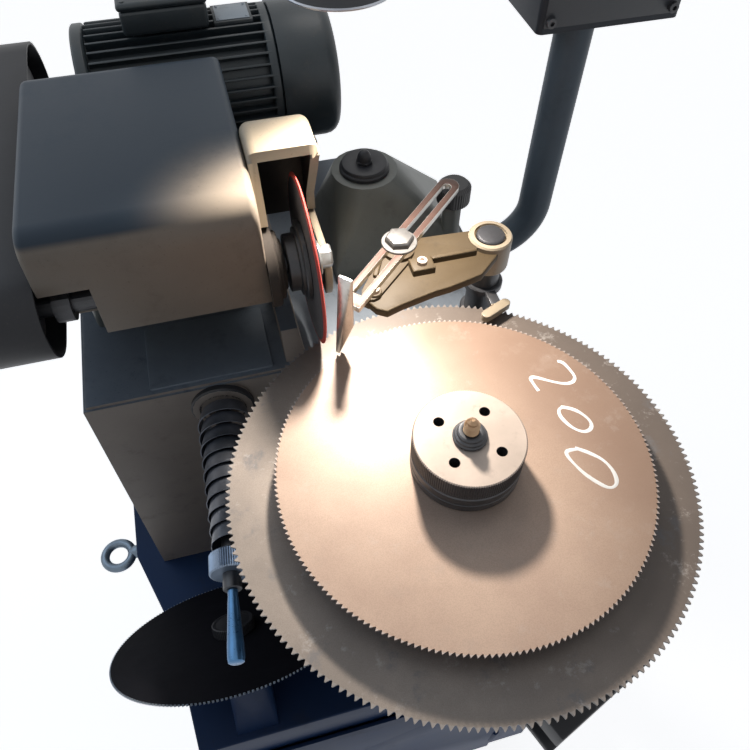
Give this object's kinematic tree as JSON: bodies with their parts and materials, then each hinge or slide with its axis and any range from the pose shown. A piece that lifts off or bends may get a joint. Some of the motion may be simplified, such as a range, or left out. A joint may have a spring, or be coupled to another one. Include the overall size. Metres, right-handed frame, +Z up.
{
  "type": "circular saw blade sharpening machine",
  "caption": "Floor-standing saw blade grinding machine: a sliding belt-driven wheel head over a blade arbor with an indexing blade, pawl feed, guide and control box.",
  "frame": {"origin": "middle of the base's underside, on the floor", "axes": "+Z up, -Y towards the operator, +X to the operator's right"},
  "size_m": [0.7243, 0.8111, 1.385],
  "materials": {
    "cabinet_paint": "semi-gloss blue paint",
    "cast_paint": "smooth beige machine enamel",
    "grey_green_paint": "grey-green enamel",
    "motor_paint": "dark blue-green enamel",
    "tube_paint": "blue-grey enamel",
    "box_paint": "light blue enamel",
    "black_paint": "black enamel",
    "black_plastic": "knurled black plastic",
    "blade_steel": "ground tool steel, stained",
    "bright_steel": "turned steel",
    "dark_steel": "oiled blackened steel",
    "guide_iron": "scraped and oiled cast iron",
    "copper_steel": "steel with a warm brown tint",
    "belt_rubber": "black rubber",
    "wheel_abrasive": "red vitrified abrasive",
    "green_plastic": "green push-button",
    "red_plastic": "red push-button"
  },
  "bodies": {
    "base": {"base_cabinet": "cabinet_paint", "switchgear_plate": "bright_steel", "bed_casting": "cast_paint", "bed_cover_plate": "grey_green_paint", "spiral_cover": "dark_steel", "feed_housing": "grey_green_paint", "feed_cap": "black_paint", "pivot_post": "dark_steel", "blade_steady": "cast_paint", "radial_guide": "guide_iron", "slide_knee": "cast_paint", "control_tube": "tube_paint", "eye_bolt": "bright_steel", "blade_rest": "dark_steel", "spare_blade": "blade_steel", "spare_blade_nut": "dark_steel"},
    "door": {"base_door": "cabinet_paint"},
    "latch": {"door_latch": "black_paint"},
    "saddle": {"infeed_saddle": "grey_green_paint"},
    "head": {"head_housing": "cast_paint", "spindle_bearing_left": "bright_steel", "spindle_bearing_right": "bright_steel", "wheel_guard": "cast_paint", "motor_body": "motor_paint", "fan_cover": "motor_paint", "terminal_box": "motor_paint", "motor_bracket": "cast_paint", "drive_belt": "belt_rubber", "belt_cover": "black_paint"},
    "wheel_spindle": {"spindle": "bright_steel", "inner_flange": "dark_steel", "grinding_wheel": "wheel_abrasive", "outer_flange": "dark_steel", "wheel_bolt": "bright_steel", "spindle_pulley": "guide_iron"},
    "rotor": {"motor_shaft": "bright_steel", "motor_pulley": "guide_iron"},
    "screw": {"infeed_screw": "bright_steel", "infeed_dial": "dark_steel", "infeed_grip": "bright_steel"},
    "carriage": {"blade_carriage": "guide_iron"},
    "arbor": {"arbor": "bright_steel", "lower_flange": "dark_steel", "large_blade": "blade_steel", "blade_spacer": "bright_steel", "index_blade": "blade_steel", "clamp_collar": "dark_steel", "top_flange": "dark_steel", "clamp_nut": "bright_steel"},
    "lever": {"feed_lever": "cast_paint", "pivot_cap": "dark_steel", "bar_bolt": "bright_steel"},
    "bar": {"slotted_bar": "copper_steel"},
    "pawl": {"pawl_finger": "bright_steel"},
    "stroke_knob": {"stroke_knob": "black_plastic"},
    "control_box": {"control_box": "box_paint"},
    "start_button": {"start_button": "green_plastic"},
    "emergency_stop": {"emergency_stop": "red_plastic"},
    "lamp_arm": {"lamp_arm": "black_paint"},
    "lamp_shade": {"lamp_shade": "grey_green_paint"}
  },
  "joints": [
    {"name": "door_hinge", "type": "hinge", "parent": "base", "child": "door", "pos_m": [0.2, -0.3033, 0.31], "axis": [0, 0, 1], "range_deg": [0, 110]},
    {"name": "latch_turn", "type": "hinge", "parent": "door", "child": "latch", "pos_m": [-0.172, -0.3033, 0.31], "axis": [0, 1, 0], "range_deg": [0, 90]},
    {"name": "infeed_slide", "type": "slide", "parent": "base", "child": "saddle", "axis": [0, 1, 0], "range_m": [0, 0.025]},
    {"name": "infeed_screw_turn", "type": "hinge", "parent": "base", "child": "screw", "pos_m": [-0.111, -0.046, 0.927], "axis": [0.0958, 0.9954, 0], "range_deg": [0, 1800]},
    {"name": "head_slide", "type": "slide", "parent": "saddle", "child": "head", "axis": [0, 1, 0], "range_m": [0, 0.012]},
    {"name": "spindle_spin", "type": "hinge", "parent": "head", "child": "wheel_spindle", "pos_m": [0, -0.01052, 1.072], "axis": [1, 0, 0], "continuous": true},
    {"name": "motor_spin", "type": "hinge", "parent": "head", "child": "rotor", "pos_m": [0, 0.30197, 1.082], "axis": [1, 0, 0], "continuous": true},
    {"name": "carriage_slide", "type": "slide", "parent": "base", "child": "carriage", "axis": [0.3584, -0.9336, 0], "range_m": [0, 0.1]},
    {"name": "arbor_spin", "type": "hinge", "parent": "carriage", "child": "arbor", "pos_m": [0.079, -0.23, 1], "axis": [0, 0, 1], "continuous": true},
    {"name": "lever_rock", "type": "hinge", "parent": "base", "child": "lever", "pos_m": [0.174, -0.022, 1.06], "axis": [0, 0, 1], "range_deg": [-4, 0]},
    {"name": "bar_adjust", "type": "slide", "parent": "lever", "child": "bar", "axis": [0.7169, 0.6972, 0], "range_m": [0, 0.02]},
    {"name": "pawl_lift", "type": "hinge", "parent": "bar", "child": "pawl", "pos_m": [0.01748, -0.08274, 1.0773], "axis": [0.7169, 0.6972, 0], "range_deg": [0, 10], "stiffness_Nm_per_rad": 0.5},
    {"name": "stroke_knob_turn", "type": "hinge", "parent": "base", "child": "stroke_knob", "pos_m": [0.171, 0.073, 1.05], "axis": [0, 0, 1], "range_deg": [-170, 170]},
    {"name": "control_box_turn", "type": "hinge", "parent": "base", "child": "control_box", "pos_m": [0.297, 0.118, 1.2], "axis": [0, 0, 1], "range_deg": [-45, 45]},
    {"name": "start_button_press", "type": "slide", "parent": "control_box", "child": "start_button", "axis": [0, 1, 0], "range_m": [0, 0.003], "stiffness_N_per_m": 500},
    {"name": "emergency_stop_press", "type": "slide", "parent": "control_box", "child": "emergency_stop", "axis": [0, 1, 0], "range_m": [0, 0.004]},
    {"name": "lamp_arm_tilt", "type": "hinge", "parent": "control_box", "child": "lamp_arm", "pos_m": [0.2457, 0.135, 1.332], "axis": [1, 0, 0], "range_deg": [-25, 15]},
    {"name": "lamp_shade_tilt", "type": "hinge", "parent": "lamp_arm", "child": "lamp_shade", "pos_m": [0.041, 0.026, 1.353], "axis": [1, 0, 0], "range_deg": [-30, 30]}
  ],
  "couplings": [
    {"joint": "infeed_screw_turn", "follows": "infeed_slide", "rad_per_m": 1256.6},
    {"joint": "motor_spin", "follows": "spindle_spin", "ratio": 0.64758}
  ]
}
